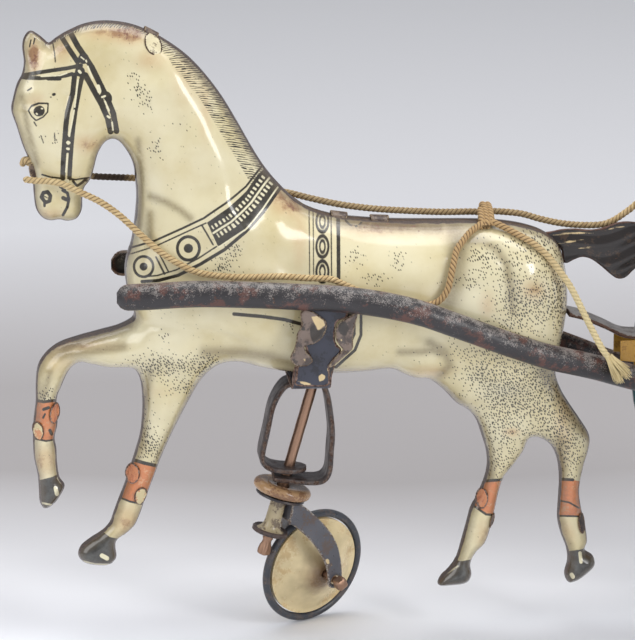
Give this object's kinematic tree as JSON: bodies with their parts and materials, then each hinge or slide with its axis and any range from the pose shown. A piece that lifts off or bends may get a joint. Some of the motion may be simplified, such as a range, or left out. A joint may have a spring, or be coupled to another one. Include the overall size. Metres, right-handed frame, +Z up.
{
  "type": "clockwork horse and gig toy",
  "caption": "Old tin clockwork toy: a trotting horse between curved shafts on a swivelling caster, drawing a light gig with spoked wheels, a wound motor and twine reins.",
  "frame": {"origin": "on the floor under the middle of the toy's length and width", "axes": "+Z up, -X the way the horse faces, -Y its near side"},
  "size_m": [0.283, 0.071, 0.1587],
  "materials": {
    "horse_tin": "glossy printed tin",
    "black_tin": "worn gloss",
    "dark_tin": "worn satin",
    "bare_tin": "dull bare tin",
    "rusty_steel": "light rust",
    "tan_tin": "worn gloss",
    "cream_tin": "worn gloss",
    "tyre_tin": "worn gloss",
    "ochre_tin": "worn gloss",
    "steel": "bright to dull steel",
    "blue_spring_steel": "blued",
    "brass": "aged",
    "teal_tin": "worn gloss",
    "maroon_tin": "worn gloss",
    "twine": "twisted natural fibre"
  },
  "bodies": {
    "chassis": {"horse_near_half": "horse_tin", "horse_far_half": "horse_tin", "shaft_near": "black_tin", "shaft_far": "black_tin", "tail": "black_tin", "shaft_bracket": "dark_tin", "bracket_ear_near": "dark_tin", "bracket_ear_far": "dark_tin", "stirrup_strap": "dark_tin", "seam_tab_crest": "bare_tin", "seam_tab_front": "bare_tin", "seam_tab_rear": "bare_tin", "tongue_strap": "bare_tin", "swivel_pin": "rusty_steel", "bracket_rivet_near": "rusty_steel", "bracket_rivet_far": "rusty_steel", "dished_washer": "tan_tin", "motor_plate_near": "ochre_tin", "motor_plate_far": "ochre_tin", "motor_pillar_1": "steel", "motor_pillar_2": "steel", "motor_pillar_3": "steel", "motor_pillar_4": "steel", "mainspring": "blue_spring_steel", "rein_rail": "brass", "floor_pan": "maroon_tin", "body_side_near": "maroon_tin", "body_side_far": "maroon_tin", "dash_panel": "maroon_tin", "seat_front": "maroon_tin", "seat_pan": "maroon_tin", "seat_back": "maroon_tin", "rein_near_front": "twine", "rein_near_back": "twine", "rein_far_front": "twine", "rein_far_back": "twine", "rein_knot": "twine", "rein_tassel": "twine"},
    "axle": {"axle": "steel", "axle_pinion": "brass", "wheel_near": "teal_tin", "wheel_far": "teal_tin", "hub_cap_near": "brass", "hub_cap_far": "brass"},
    "intermediate": {"intermediate_arbor": "steel", "intermediate_pinion": "brass", "intermediate_wheel": "brass"},
    "great_wheel": {"great_wheel": "brass", "click_rivet": "steel"},
    "winding": {"winding_arbor": "steel", "ratchet_wheel": "steel", "winding_key": "steel"},
    "click": {"click": "steel"},
    "caster_fork": {"caster_fork": "dark_tin", "caster_spool": "cream_tin", "caster_axle": "rusty_steel"},
    "caster_wheel": {"caster_near_disc": "cream_tin", "caster_far_disc": "cream_tin", "caster_tyre": "tyre_tin"}
  },
  "joints": [
    {"name": "axle_spin", "type": "hinge", "parent": "chassis", "child": "axle", "pos_m": [0.0805, 0, 0.061], "axis": [0, 1, 0], "continuous": true},
    {"name": "intermediate_spin", "type": "hinge", "parent": "chassis", "child": "intermediate", "pos_m": [0.06861, 0, 0.06533], "axis": [0, 1, 0], "continuous": true},
    {"name": "great_wheel_spin", "type": "hinge", "parent": "chassis", "child": "great_wheel", "pos_m": [0.05053, 0, 0.06691], "axis": [0, 1, 0], "continuous": true},
    {"name": "winding_turn", "type": "hinge", "parent": "great_wheel", "child": "winding", "pos_m": [0.05053, 0, 0.06691], "axis": [0, 1, 0], "continuous": true},
    {"name": "click_turn", "type": "hinge", "parent": "great_wheel", "child": "click", "pos_m": [0.05632, 0, 0.0738], "axis": [0, 1, 0], "range_deg": [-15, 0], "stiffness_Nm_per_rad": 0.00005},
    {"name": "caster_swivel", "type": "hinge", "parent": "chassis", "child": "caster_fork", "pos_m": [-0.08093, 0, 0.01927], "axis": [0.2756, 0, 0.9613], "continuous": true},
    {"name": "caster_wheel_spin", "type": "hinge", "parent": "caster_fork", "child": "caster_wheel", "pos_m": [-0.06691, 0.00911, 0.01525], "axis": [-0.5094, 0.848, 0.1461], "continuous": true}
  ],
  "couplings": [
    {"joint": "intermediate_spin", "follows": "axle_spin", "ratio": -0.25},
    {"joint": "great_wheel_spin", "follows": "axle_spin", "ratio": 0.05}
  ]
}
